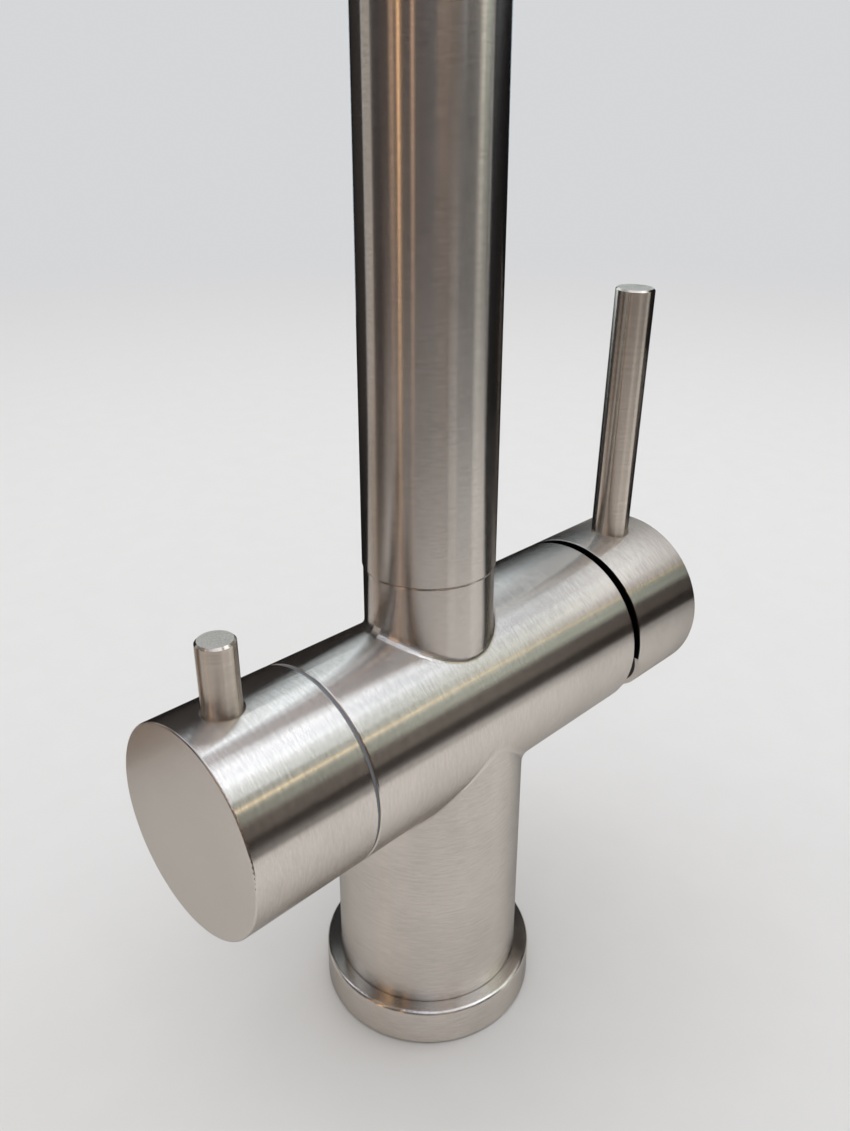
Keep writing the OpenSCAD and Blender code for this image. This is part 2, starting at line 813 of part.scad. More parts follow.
// A lever is a plain pin with a bevelled top and a threaded tip
module lever(r, foot, top) {
    translate([0, 0, foot])
        cylinder(r = r, h = top - lever_bevel - foot);
    translate([0, 0, top - lever_bevel])
        cylinder(r1 = r, r2 = r - lever_bevel, h = lever_bevel);
    translate([0, 0, foot - lever_tip_len])
        cylinder(r = grub_r - thread_gap, h = lever_tip_len);
}

// A headless screw with a hexagon socket in its outer end
module grub_screw(r, foot, top) {
    difference() {
        translate([0, 0, foot])
            cylinder(r = r - thread_gap, h = top - foot);
        translate([0, 0, (foot + top) / 2])
            cylinder(r = r / 2, h = top - foot, $fn = 6);
    }
}

module mixer_lever() {
    color(steel)
        mixer_turned()
            upright(mixer_lever_x, 0)
                lever(mixer_lever_d / 2, mixer_lever_foot, barrel_r + mixer_lever_len);
}

module mixer_grub_screw() {
    color(dark_steel)
        mixer_turned()
            upright(mixer_lever_x, 0)
                grub_screw(grub_r, stem_half + loose_gap,
                    mixer_lever_foot - lever_tip_len - loose_gap);
}

// The valve's body: nose with windows, thread, hexagon and gland
module valve_housing() {
    nose_r = disc_d / 2 + run_gap;
    color("goldenrod")
        difference() {
            union() {
                rod_filter(chamber_r, valve_seat_x, valve_collar_x);
                rod_filter(valve_thread_r, spindle_foot_x, valve_collar_x);
                to_filter(valve_collar_x)
                    cylinder(r = valve_hex_af / 2 / cos(30), h = valve_recess_depth - loose_gap,
                        $fn = 6);
                rod_filter(valve_gland_d / 2, valve_collar_x, gland_end_x);
            }
            rod_filter(nose_r, valve_seat_x - over, spindle_foot_x);
            rod_filter(spindle_d / 2 + run_gap, valve_seat_x, gland_end_x + over);
            upright(-turning_disc_x, 90)
                translate([0, 0, -valve_thread_d])
                    cylinder(r = disc_t / 2, h = 2 * valve_thread_d);
        }
}

module valve_seat_seal() {
    color(black)
        difference() {
            rod_filter(disc_d / 2, valve_seat_x, fixed_disc_x);
            rod_filter(way_d / 2, valve_seat_x - over, fixed_disc_x + over);
        }
}

// A ceramic disc lets water through half of its face
module ceramic_disc(x, turn) {
    disc_r = disc_d / 2;
    difference() {
        rod_filter(disc_r, x, x + disc_t);
        for (side = [0, 180])
            upright(-x, turn + side)
                translate([over, 0, disc_r / 2])
                    rotate([0, -90, 0])
                        cylinder(r = disc_hole_d / 2, h = disc_t + 2 * over);
    }
}

module fixed_disc() {
    color("white")
        ceramic_disc(fixed_disc_x, 0);
}

module turning_disc() {
    color("lightgray")
        filter_turned()
            ceramic_disc(turning_disc_x, 90);
}

// The spindle has a flat on its outer end
module valve_spindle() {
    flat_foot_x = filter_near_x + filter_hollow_depth;
    color(dark_steel)
        filter_turned()
            difference() {
                rod_filter(spindle_d / 2, spindle_foot_x, spindle_end_x);
                translate([-spindle_end_x - over, -spindle_d,
                        barrel_axis_z + spindle_d / 2 - spindle_flat_depth])
                    cube([spindle_end_x + over - flat_foot_x, 2 * spindle_d, spindle_d]);
            }
}

module knob_washer() {
    color("slategray")
        difference() {
            rod_filter(barrel_r - edge_r, barrel_filter_len, barrel_filter_len + knob_washer_t);
            rod_filter(filter_hollow_r, barrel_filter_len - over, filter_near_x + over);
        }
}

module filter_knob() {
    color(steel)
        filter_turned()
            difference() {
                to_filter(filter_near_x)
                    round_ends(barrel_r, filter_knob_len, edge_r);
                rod_filter(filter_hollow_r, filter_near_x - over,
                    filter_near_x + filter_hollow_depth);
                rod_filter(spindle_d / 2 + run_gap, filter_near_x, spindle_end_x);
                upright(-filter_lever_x, 0)
                    lever_hole(filter_lever_d / 2, filter_lever_foot);
            }
}

module filter_lever() {
    color(steel)
        filter_turned()
            upright(-filter_lever_x, 0)
                lever(filter_lever_d / 2, filter_lever_foot, barrel_r + filter_lever_len);
}

module filter_grub_screw() {
    color(dark_steel)
        filter_turned()
            upright(-filter_lever_x, 0)
                grub_screw(grub_r, spindle_d / 2 - spindle_flat_depth + loose_gap,
                    filter_lever_foot - lever_tip_len - loose_gap);
}

module ring_groove(z, h) {
    tube_z(nipple_r + over, nipple_r - ring_groove_depth, z - h / 2, z + h / 2);
}

module spout_nipple() {
    color("goldenrod")
        difference() {
            union() {
                rod_z(nipple_r, nipple_foot_z, nipple_top_z);
                rod_z(spout_in_r - run_gap, spout_foot_z, nipple_top_z);
            }
            rod_z(nipple_bore_r, nipple_foot_z - over, nipple_top_z + over);
            for (z = concat(o_ring_zs, slide_ring_zs))
                ring_groove(z, ring_groove_h);
            tube_z(nipple_r + over, nipple_r - lock_groove_depth,
                lock_screw_z - lock_screw_d / 2 - loose_gap,
                lock_screw_z + lock_screw_d / 2 + loose_gap);
        }
}

// Rubber rings that seal the nipple in the neck
module nipple_o_rings() {
    ring_r = (ring_groove_depth - run_gap) / 2;
    color(black)
        for (z = o_ring_zs)
            translate([0, 0, z])
                rotate_extrude()
                    translate([nipple_r - ring_groove_depth + ring_r + run_gap, 0])
                        circle(r = ring_r, $fn = 32);
}

// Plastic rings that the nipple turns on
module nipple_slide_rings() {
    h = ring_groove_h - 2 * run_gap;
    color("white")
        for (z = slide_ring_zs)
            tube_z(nipple_r, nipple_r - ring_groove_depth + run_gap, z - h / 2, z + h / 2);
}

module spout_lock_screw() {
    tip_r = nipple_r - lock_groove_depth + loose_gap;
    color(dark_steel)
        translate([0, 0, lock_screw_z])
            rotate([-90, 0, 0])
                grub_screw(lock_screw_d / 2, tip_r, neck_r - loose_gap);
}

// One length of tube along the spout's route: riser, arch and drop
module spout_route(r, z0, z1) {
    rod_z(r, z0, riser_top_z);
    translate([0, -arch_r, riser_top_z])
        rotate([90, 0, 90])
            rotate_extrude(angle = 180)
                translate([arch_r, 0])
                    circle(r = r);
    translate([0, outlet_y, 0])
        rod_z(r, z1, riser_top_z);
}

module spout_tube() {
    color(steel)
        difference() {
            spout_route(spout_r, spout_foot_z, outlet_z);
            spout_route(spout_in_r, spout_foot_z - over, outlet_z - over);
        }
}

module inner_tube() {
    color("white")
        difference() {
            spout_route(inner_tube_r, inner_foot_z, inner_top_z);
            spout_route(inner_tube_r - inner_tube_wall, inner_foot_z - over,
                inner_top_z - over);
        }
}

module inner_tube_seal() {
    color(black)
        tube_z(nipple_bore_r, inner_tube_r + run_gap, swivel_floor_z,
            swivel_floor_z + inner_seal_t);
}

// Moves what follows to the axis of the outlet
module at_outlet() {
    translate([0, outlet_y, 0])
        children();
}

module spout_end_bush() {
    color("goldenrod")
        at_outlet()
            tube_z(end_bush_r, end_bush_r - end_bush_wall, outlet_z,
                outlet_z + end_bush_len);
}

// The housing is a rim under the spout, a threaded skirt and a ledge for the insert
module aerator_housing() {
    top_z = outlet_z + aerator_skirt_h;
    color(dark_steel)
        at_outlet()
            difference() {
                union() {
                    rod_z(spout_r - edge_r, aerator_foot_z, outlet_z);
                    rod_z(aerator_r, aerator_foot_z, top_z);
                }
                rod_z(insert_r + run_gap, insert_z, top_z + over);
                rod_z(insert_r - port_wall, aerator_foot_z - over, top_z);
                for (turn = [0, 90])
                    rotate([0, 0, turn])
                        translate([-spout_r, -key_notch_w / 2, aerator_foot_z - over])
                            cube([spout_d, key_notch_w, over + key_notch_depth]);
            }
}

module aerator_washer() {
    foot_z = outlet_z + aerator_skirt_h;
    color(black)
        at_outlet()
            tube_z(aerator_r, aerator_r - aerator_wall, foot_z, foot_z + aerator_washer_t);
}

// Rings of small holes round the nozzle, as many as fit with a web between them
module aerator_insert() {
    hole_r = insert_hole_d / 2;
    pitch = insert_hole_d + insert_web;
    inner_r = nozzle_d / 2 + insert_web + hole_r;
    outer_r = insert_r - port_wall - insert_web - hole_r;
    color("white")
        at_outlet()
            difference() {
                tube_z(insert_r, nozzle_d / 2 + run_gap, insert_z, insert_z + insert_t);
                for (r = [inner_r : pitch : outer_r])
                    let (count = floor(2 * PI * r / pitch))
                        for (i = [1 : count])
                            rotate([0, 0, 360 * i / count])
                                translate([r, 0, insert_z - over])
                                    cylinder(r = hole_r, h = insert_t + 2 * over);
            }
}

module filter_nozzle() {
    color(dark_steel)
        at_outlet()
            difference() {
                rod_z(nozzle_d / 2, nozzle_foot_z, nozzle_top_z);
                rod_z(inner_tube_r - inner_tube_wall, nozzle_foot_z - over, nozzle_top_z);
                rod_z(inner_tube_r + run_gap, inner_top_z - run_gap, nozzle_top_z + over);
            }
}

body();
base_flange();
base_gasket();
mounting_shank();
clamp_rubber();
clamp_ring();
fixing_nut();
cartridge_housing();
cartridge_seal();
cartridge_nut();
cover_ring();
cartridge_rotor();
stem_pin();
cartridge_stem();
mixer_knob();
mixer_lever();
mixer_grub_screw();
valve_housing();
valve_seat_seal();
fixed_disc();
turning_disc();
valve_spindle();
knob_washer();
filter_knob();
filter_lever();
filter_grub_screw();
spout_nipple();
nipple_o_rings();
nipple_slide_rings();
spout_lock_screw();
spout_tube();
inner_tube();
inner_tube_seal();
spout_end_bush();
aerator_washer();
aerator_housing();
aerator_insert();
filter_nozzle();
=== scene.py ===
"""The three way filtered water tap, dressed and lit for its photograph."""

import json
import math

import bpy
from mathutils import Matrix, Vector


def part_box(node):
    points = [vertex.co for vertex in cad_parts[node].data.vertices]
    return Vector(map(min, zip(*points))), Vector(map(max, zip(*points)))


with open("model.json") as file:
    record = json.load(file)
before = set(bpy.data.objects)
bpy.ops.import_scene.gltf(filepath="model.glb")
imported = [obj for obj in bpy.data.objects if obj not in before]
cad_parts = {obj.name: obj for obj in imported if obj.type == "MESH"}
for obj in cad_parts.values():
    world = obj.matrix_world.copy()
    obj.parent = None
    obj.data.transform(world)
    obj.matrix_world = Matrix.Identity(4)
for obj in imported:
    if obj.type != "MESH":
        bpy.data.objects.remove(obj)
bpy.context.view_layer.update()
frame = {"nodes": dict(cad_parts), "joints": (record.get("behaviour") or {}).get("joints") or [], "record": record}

MM = 0.001

# Places read from the frame
joints = {joint["name"]: joint for joint in frame["joints"]}
axis_z = joints["filter_turn"]["pos_m"][2]
barrel_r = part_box("filter_knob")[1].y
gap_low_x, gap_high_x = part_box("body")[1].x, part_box("mixer_knob")[0].x
spout_low, spout_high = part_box("spout_tube")
spout_r = spout_high.x
spout_reach = -spout_low.y
arch_r = (spout_high.y - spout_low.y) / 2 - spout_r
riser_top_z = spout_high.z - spout_r - arch_r

# Brushed steel: its colour, and how fine, how strong and how deep its marks are
STEEL = (0.73, 0.675, 0.615)
BRUSH_PER_M = 1700.0
BRUSH_FINE_PER_M = 7000.0
BRUSH_STRETCH = 0.003
BLOTCH_PER_M = 45.0
SATIN_PER_M = 2500.0
FINE_SHARE, BLOTCH_SHARE = 0.35, 0.25
SHADE_SPREAD = (0.34, 0.66)
DARK_MARK, LIGHT_MARK = 0.86, 1.10
MARK_DEPTH, MARK_STRENGTH = 0.003 * MM, 0.5

# Where a face counts as square to the axis, how its satin lies, and where the
# body's lines go round the barrel
END_FACING = (0.80, 0.97)
SATIN_SPIN = 25.0
SKEW = (0.36, 0.48, 0.80)
OFF_BARREL = (0.1 * MM, 0.5 * MM)

# The mixer knob's gap: painted shade on its walls and in its hollow, and the soft edge where the painted shade
# ends
GAP_WALL, GAP_DEPTH = 1.3 * MM, 11.0 * MM
GAP_LIP, GAP_SOFT = 0.15 * MM, 0.1 * MM
GAP_SHADE = 0.06

# The grain of metal out of sight, and of plastic, rubber and ceramic
GRAIN_SPREAD = (0.3, 0.7)
TURNED = {"metallic": 1.0, "per_m": 1500.0, "dark": 0.85, "spread": 0.06,
          "depth": 0.004 * MM, "strength": 0.5}
MOULDED = {"metallic": 0.0, "per_m": 900.0, "dark": 0.82, "spread": 0.05,
           "depth": 0.01 * MM, "strength": 0.6}

# The worktop, what lies behind it, and the light of the room
SHANK_HOLE_R = 17.5 * MM
FLOOR_RINGS = (SHANK_HOLE_R, 0.5, 30.0)
FLOOR_FADE = (0.35, 1.6)
FLOOR_GRAIN_PER_M = 60.0
FLOOR_DARK, FLOOR_LIGHT = (0.71, 0.67, 0.61), (0.74, 0.70, 0.64)
BACKDROP = (0.67, 0.675, 0.69)
ROOM_LIGHT = (0.60, 0.60, 0.61)
DAYLIGHT = (0.90, 1.0, 1.18)

# The cards that reflections show. Bearings and elevations are in degrees, seen
# from the tap. The wall cards are given along the wall: place, foot and top.
# No card goes lower than FOOT, which is just clear of the worktop.
FOOT = 1 * MM
WALL_BEARING = math.radians(35.6)
WALL_REACH, SHEEN_REACH = 0.118, 0.116
WALL_EDGE = ((-0.38, FOOT, 0.55), (-0.09, FOOT, 0.50), (-0.05, FOOT, 0.27),
             (0.06, FOOT, 0.27), (0.11, FOOT, 0.50), (0.50, FOOT, 0.55))
SHEEN_EDGE = ((-0.20, 0.33, 0.50), (-0.05, 0.28, 0.50), (-0.01, 0.17, 0.45),
              (0.03, 0.165, 0.45), (0.05, 0.16, 0.34), (0.075, 0.155, 0.26))
ROOM_R = 1.5
WORKTOP_EDGE, WORKTOP_END = 0.323, 0.95 * ROOM_R
ALMOST_NOUGHT = 0.01
CARD_NEAR = (0.025, 0.075)


class Graph:
    """A material's or the world's nodes, wired by short calls."""

    def __init__(self, owner, output="ShaderNodeOutputMaterial"):
        owner.use_nodes = True
        self.tree = owner.node_tree
        self.tree.nodes.clear()
        self.output = self.add(output)

    def add(self, kind, inputs=None, **settings):
        """A new node with these settings. Its inputs are given by place or name."""
        node = self.tree.nodes.new(kind)
        for key, value in settings.items():
            setattr(node, key, value)
        for key, value in (inputs or {}).items():
            self.feed(node.inputs[key], value)
        return node

    def feed(self, socket, value):
        if isinstance(value, bpy.types.NodeSocket):
            self.tree.links.new(value, socket)
        else:
            socket.default_value = value

    def show(self, shader):
        self.feed(self.output.inputs["Surface"], shader)

    def math(self, operation, a, b=0.0):
        return self.add("ShaderNodeMath", {0: a, 1: b}, operation=operation).outputs[0]

    def length(self, a, b):
        """The distance from an axis, from the two coordinates square to it."""
        squares = self.math("ADD", self.math("POWER", a, 2.0), self.math("POWER", b, 2.0))
        return self.math("SQRT", squares)

    def vector(self, operation, a, b=(0.0, 0.0, 0.0)):
        node = self.add("ShaderNodeVectorMath", {0: a, 1: b}, operation=operation)
        return node.outputs["Vector"]

    def dot(self, a, b):
        node = self.add("ShaderNodeVectorMath", {0: a, 1: b}, operation="DOT_PRODUCT")
        return node.outputs["Value"]

    def scale(self, vector, factor):
        node = self.add("ShaderNodeVectorMath", {0: vector, "Scale": factor},
                        operation="SCALE")
        return node.outputs["Vector"]

    def split(self, vector):
        return self.add("ShaderNodeSeparateXYZ", {0: vector}).outputs

    def join(self, x, y, z):
        return self.add("ShaderNodeCombineXYZ", {0: x, 1: y, 2: z}).outputs[0]

    def step(self, value, low, high, to_low=0.0, to_high=1.0):
        """A smooth rise from to_low to to_high as value goes from low to high."""
        inputs = dict(enumerate((value, low, high, to_low, to_high)))
        node = self.add("ShaderNodeMapRange", inputs, interpolation_type="SMOOTHSTEP")
        return node.outputs[0]

    def mix(self, factor, a, b):
        """A colour or a vector between a and b."""
        node = self.add("ShaderNodeMix", {0: factor, 6: a, 7: b}, data_type="RGBA")
        return node.outputs[2]

    def blend(self, factor, a, b):
        """A number between a and b."""
        node = self.add("ShaderNodeMix", {0: factor, 2: a, 3: b}, data_type="FLOAT")
        return node.outputs[0]

    def mix_shaders(self, factor, a, b):
        return self.add("ShaderNodeMixShader", {0: factor, 1: a, 2: b}).outputs[0]

    def noise(self, vector, scale, detail, roughness=0.5):
        node = self.add("ShaderNodeTexNoise", {"Vector": vector, "Scale": scale,
                                               "Detail": detail, "Roughness": roughness})
        return node.outputs["Fac"]

    def bump(self, height, distance, strength):
        node = self.add("ShaderNodeBump", {"Height": height, "Distance": distance,
                                           "Strength": strength})
        return node.outputs[0]

    def principled(self, inputs):
        return self.add("ShaderNodeBsdfPrincipled", inputs).outputs[0]

    def glow(self, tint):
        return self.add("ShaderNodeEmission", {"Color": colour(tint)}).outputs[0]


def new_material(name):
    """A new material, and its graph."""
    material = bpy.data.materials.new(name)
    return material, Graph(material)


def colour(tint, factor=1.0):
    """A tint made darker or lighter, as a socket takes it."""
    return (*(part * factor for part in tint), 1.0)


# The brushed steel: every turned part is brushed round its own axis, so its
# reflections are crisp across the axis and drawn out along it. Each function that
# starts with along gives the place along the axis, the angle round it and its way.

def along_barrel(graph, place):
    """For what is turned round the barrel's axis."""
    x, y, z = graph.split(place)
    rise = graph.math("SUBTRACT", z, axis_z)
    turn = graph.math("ARCTAN2", rise, y)
    return x, turn, graph.join(1.0, 0.0, 0.0)


def along_upright(graph, place):
    """For what stands upright."""
    x, y, z = graph.split(place)
    turn = graph.math("ARCTAN2", y, x)
    return z, turn, graph.join(0.0, 0.0, 1.0)


def along_spout(graph, place):
    """For the spout: up the riser, over the arch and down the drop."""
    x, y, z = graph.split(place)
    back = graph.math("ADD", y, arch_r)
    rise = graph.math("SUBTRACT", z, riser_top_z)
    over = graph.math("GREATER_THAN", rise, 0.0)
    swing = graph.math("ARCTAN2", rise, back)
    arc = graph.math("ADD", graph.math("MULTIPLY", swing, arch_r), riser_top_z)
    run = graph.blend(over, z, arc)
    way = graph.join(0.0, graph.math("MULTIPLY", rise, -1.0), back)
    way = graph.mix(over, graph.join(0.0, 0.0, 1.0), way)
    reach = graph.length(back, rise)
    out = graph.blend(over, y, graph.math("SUBTRACT", reach, arch_r))
    turn = graph.math("ARCTAN2", out, x)
    return run, turn, way


def along_body(graph, place):
    """For the body: the barrel's axis on the barrel, upright on column and neck."""
    _, y, z = graph.split(place)
    rise = graph.math("SUBTRACT", z, axis_z)
    off = graph.math("ABSOLUTE", graph.math("SUBTRACT", graph.length(y, rise), barrel_r))
    on_barrel = graph.step(off, *OFF_BARREL, 1.0, 0.0)
    run_x, turn_x, way_x = along_barrel(graph, place)
    run_z, turn_z, way_z = along_upright(graph, place)
    run = graph.blend(on_barrel, run_z, run_x)
    turn = graph.blend(on_barrel, turn_z, turn_x)
    way = graph.mix(on_barrel, way_z, way_x)
    return run, turn, way


def satin_way(graph, place, way):
    """The lines of a satin end: they turn another way at every grain."""
    spin = graph.math("MULTIPLY", graph.noise(place, SATIN_PER_M, 0.0), SATIN_SPIN)
    across = graph.vector("CROSS_PRODUCT", way, SKEW)
    beside = graph.vector("CROSS_PRODUCT", way, across)
    return graph.vector("ADD", graph.scale(across, graph.math("COSINE", spin)),
                        graph.scale(beside, graph.math("SINE", spin)))


def turned_way(graph, place, way):
    """The lines of a turned end: they go round the axis."""
    return graph.vector("CROSS_PRODUCT", way, graph.vector("CROSS_PRODUCT", place, way))


def outside_gap(graph, place):
    """Nought where shade is painted on the walls of the mixer knob's gap and of its hollow, else one."""
    x, y, z = graph.split(place)
    reach = graph.length(y, graph.math("SUBTRACT", z, axis_z))
    wall = barrel_r - GAP_WALL
    inside = graph.step(reach, wall - GAP_SOFT, wall, 1.0, 0.0)
    hollow = graph.math("MULTIPLY", inside,
                        graph.math("LESS_THAN", x, gap_high_x + GAP_DEPTH))
    near = graph.step(x, gap_high_x + GAP_SOFT, gap_high_x + GAP_SOFT + GAP_LIP, 1.0, 0.0)
    walls = graph.math("MAXIMUM", hollow, near)
    beyond = graph.step(x, gap_low_x - GAP_LIP, gap_low_x)
    return graph.math("SUBTRACT", 1.0, graph.math("MULTIPLY", walls, beyond))


def brushed_steel(name, along, tint=STEEL, painted_end_highlight=None, rough=(0.24, 0.28),
                  satin=(0.20, 0.26), end_way=satin_way):
    """Steel brushed round an axis, with its own look on faces square to the axis, which can carry a painted
    highlight.
    """
    material, graph = new_material(name)
    texture = graph.add("ShaderNodeTexCoord")
    place = texture.outputs["Object"]
    run, turn, way = along(graph, place)
    facing = graph.math("ABSOLUTE", graph.dot(texture.outputs["Normal"], way))
    on_end = graph.step(facing, *END_FACING)

    lines_at = graph.join(run, graph.math("MULTIPLY", turn, BRUSH_STRETCH), 0.0)
    coarse = graph.noise(lines_at, BRUSH_PER_M, 4.0, 0.7)
    fine = graph.noise(lines_at, BRUSH_FINE_PER_M, 1.0)
    blotch = graph.noise(place, BLOTCH_PER_M, 2.0)
    grain = graph.noise(place, SATIN_PER_M, 2.0)
    lines = graph.blend(on_end, graph.blend(FINE_SHARE, coarse, fine), grain)
    shade = graph.blend(BLOTCH_SHARE, lines, blotch)

    metal = graph.mix(graph.step(shade, *SHADE_SPREAD),
                      colour(tint, DARK_MARK), colour(tint, LIGHT_MARK))
    # A painted highlight: end faces take their own pale colour where one is given.
    end_metal = graph.mix(shade, metal, colour(painted_end_highlight or tint))
    # Painted shade: the gap's walls and hollow are darkened to GAP_SHADE of the steel colour.
    lit = graph.step(outside_gap(graph, place), 0.0, 1.0, GAP_SHADE, 1.0)
    low, high = (graph.blend(on_end, *pair) for pair in zip(rough, satin))
    way = graph.mix(on_end, way, graph.vector("NORMALIZE", end_way(graph, place, way)))
    tangent = graph.add("ShaderNodeVectorTransform", {0: way}, vector_type="VECTOR",
                        convert_from="OBJECT", convert_to="WORLD")
    graph.show(graph.principled({
        "Base Color": graph.scale(graph.mix(on_end, metal, end_metal), lit),
        "Metallic": 1.0,
        "Roughness": graph.blend(shade, low, high),
        "Specular Tint": colour((0.5, 0.5, 0.5)),
        "Anisotropic": 1.0,
        "Normal": graph.bump(lines, MARK_DEPTH, MARK_STRENGTH),
        "Tangent": tangent.outputs[0],
    }))
    return material


def grained(name, tint, roughness, metallic, per_m, dark, spread, depth, strength):
    """A plain surface with a faint moulded, ground or turned unevenness."""
    material, graph = new_material(name)
    place = graph.add("ShaderNodeTexCoord").outputs["Object"]
    grain = graph.noise(place, per_m, 3.0)
    graph.show(graph.principled({
        "Base Color": graph.mix(grain, colour(tint, dark), colour(tint)),
        "Metallic": metallic,
        "Roughness": graph.step(grain, *GRAIN_SPREAD,
                                roughness - spread, roughness + spread),
        "Normal": graph.bump(grain, depth, strength),
    }))
    return material


def dress_nodes():
    """Gives every CAD node its finish: its own steel, or else that of its slot."""
    steel_body = brushed_steel("steel_body", along_body)
    steel_barrel = brushed_steel("steel_barrel", along_barrel)
    # The levers' tops carry a painted highlight: a near white, slightly green end colour.
    steel_upright = brushed_steel("steel_upright", along_upright, tint=(0.77, 0.68, 0.585),
                                  painted_end_highlight=(0.98, 1.0, 0.92), satin=(0.75, 0.85))
    steel_flange = brushed_steel("steel_flange", along_upright, rough=(0.20, 0.24),
                                 satin=(0.22, 0.26), end_way=turned_way)
    steel_spout = brushed_steel("steel_spout", along_spout)
    by_node = {
        "body": steel_body,
        "mixer_knob": steel_barrel,
        "filter_knob": steel_barrel,
        "mixer_lever": steel_upright,
        "filter_lever": steel_upright,
        "base_flange": steel_flange,
        "spout_tube": steel_spout,
    }
    by_slot = {name: grained(name, tint, roughness, **grain)
               for name, tint, roughness, grain in (
                   ("machined_steel", (0.50, 0.50, 0.50), 0.3, TURNED),
                   ("brass", (0.72, 0.53, 0.26), 0.3, TURNED),
                   ("black_rubber", (0.03, 0.03, 0.03), 0.7, MOULDED),
                   ("black_plastic", (0.012, 0.012, 0.012), 0.55, MOULDED),
                   ("white_plastic", (0.82, 0.82, 0.80), 0.35, MOULDED),
                   ("ceramic", (0.88, 0.88, 0.86), 0.15, MOULDED),
                   ("grey_washer", (0.165, 0.172, 0.185), 0.45, MOULDED))}
    for piece in frame["record"]["subparts"]:
        finish = by_node.get(piece["node"]) or by_slot[piece["material_slot"]]
        for slot in frame["nodes"][piece["node"]].material_slots:
            slot.material = finish


def new_mesh(name, points, faces, material):
    """A new object from its points and faces, in one material."""
    mesh = bpy.data.meshes.new(name)
    mesh.from_pydata(points, [], faces)
    mesh.update()
    mesh.materials.append(material)
    piece = bpy.data.objects.new(name, mesh)
    bpy.context.scene.collection.objects.link(piece)
    return piece


def seen_ray(graph):
    """One where a ray shows the surround itself, directly or in metal or glass."""
    path = graph.add("ShaderNodeLightPath").outputs
    mirrored = graph.math("MAXIMUM", path["Is Glossy Ray"], path["Is Transmission Ray"])
    return graph.math("MAXIMUM", path["Is Camera Ray"], mirrored)


def make_floor():
    """The worktop: pale, with the shank's hole, and far off it fades into the backdrop."""
    steps = 96
    turns = [2 * math.pi * i / steps for i in range(steps)]
    points = [(r * math.cos(turn), r * math.sin(turn), 0.0)
              for r in FLOOR_RINGS for turn in turns]
    faces = [(k * steps + i, (k + 1) * steps + i,
              (k + 1) * steps + (i + 1) % steps, k * steps + (i + 1) % steps)
             for k in range(len(FLOOR_RINGS) - 1) for i in range(steps)]
    material, graph = new_material("worktop")
    place = graph.add("ShaderNodeTexCoord").outputs["Object"]
    grain = graph.noise(place, FLOOR_GRAIN_PER_M, 3.0)
    worktop = graph.principled({
        "Base Color": graph.mix(grain, colour(FLOOR_DARK), colour(FLOOR_LIGHT)),
        "Roughness": 0.6,
        "Specular IOR Level": 0.0,
    })
    x, y, _ = graph.split(place)
    far = graph.step(graph.length(x, y), *FLOOR_FADE)
    faded = graph.math("MULTIPLY", far, seen_ray(graph))
    graph.show(graph.mix_shaders(faded, worktop, graph.glow(BACKDROP)))
    floor = new_mesh("floor", points, faces, material)


# The cards stand round the tap for its steel to mirror: dark ones behind it, and a
# dim room with a window and lamps in front. Only reflections show them.

def make_card(name, points, faces, tint, one_sided=False, near=False):
    """A card of one colour. A one-sided card is clear from behind, and a near one is
    clear to what comes close to it, as the swung spout does."""
    material, graph = new_material(name)
    behind = graph.add("ShaderNodeNewGeometry").outputs["Backfacing"]
    length = graph.add("ShaderNodeLightPath").outputs["Ray Length"]
    close = graph.step(length, *CARD_NEAR, 1.0, 0.0)
    hidden = graph.math("MAXIMUM", behind if one_sided else 0.0, close if near else 0.0)
    clear = graph.add("ShaderNodeBsdfTransparent").outputs[0]
    graph.show(graph.mix_shaders(hidden, graph.glow(tint), clear))
    card = new_mesh(name, points, faces, material)
    card.visible_camera = False
    card.visible_diffuse = False
    card.visible_shadow = False
    card.visible_transmission = False


def wall_card(name, reach, edge, tint):
    """A card along the wall's line, at this reach, from places with a foot and a top."""
    out = Vector((math.cos(WALL_BEARING), math.sin(WALL_BEARING), 0.0))
    side = Vector((-out.y, out.x, 0.0))
    points = [reach * out + along * side + Vector((0.0, 0.0, height))
              for along, foot, top in edge for height in (foot, top)]
    faces = [(i, i + 1, i + 3, i + 2) for i in range(0, len(points) - 2, 2)]
    make_card(name, points, faces, tint, one_sided=True, near=True)


def front_edge(turn):
    """How far off the worktop's straight front edge is at this bearing."""
    ahead = -math.cos(turn - WALL_BEARING)
    return min(WORKTOP_END, WORKTOP_EDGE / max(ALMOST_NOUGHT, ahead))


def round_card(name, start, end, profile, tint, steps):
    """A card round the tap between two bearings, from a profile of radius and height.
    A radius of None is where the worktop's front edge is. A card that stands within
    the spout's reach is a near one."""
    points = []
    for i in range(steps + 1):
        turn = math.radians(start + (end - start) * i / steps)
        for r, z in profile:
            r = front_edge(turn) if r is None else r
            points.append((r * math.cos(turn), r * math.sin(turn), z))
    rows = len(profile)
    faces = [(i * rows + j, (i + 1) * rows + j, (i + 1) * rows + j + 1, i * rows + j + 1)
             for i in range(steps) for j in range(rows - 1)]
    near = all(r is not None and r < spout_reach for r, _ in profile)
    make_card(name, points, faces, tint, near=near)


def flat_card(name, points, tint, one_sided=False):
    """A card from its four corners."""
    make_card(name, points, [(0, 1, 2, 3)], tint, one_sided=one_sided)


def height_at(reach, elevation):
    """Height of what is this far off, and at this elevation seen from the barrel."""
    return max(FOOT, axis_z + reach * math.tan(math.radians(elevation)))


def make_wall_cards():
    """Dark behind the tap, lower where the ceiling shows over it, with a pale sheen."""
    wall_card("dark_wall", WALL_REACH, WALL_EDGE, (0.016, 0.015, 0.016))
    wall_card("wall_sheen", SHEEN_REACH, SHEEN_EDGE, (1.20, 1.38, 1.50))


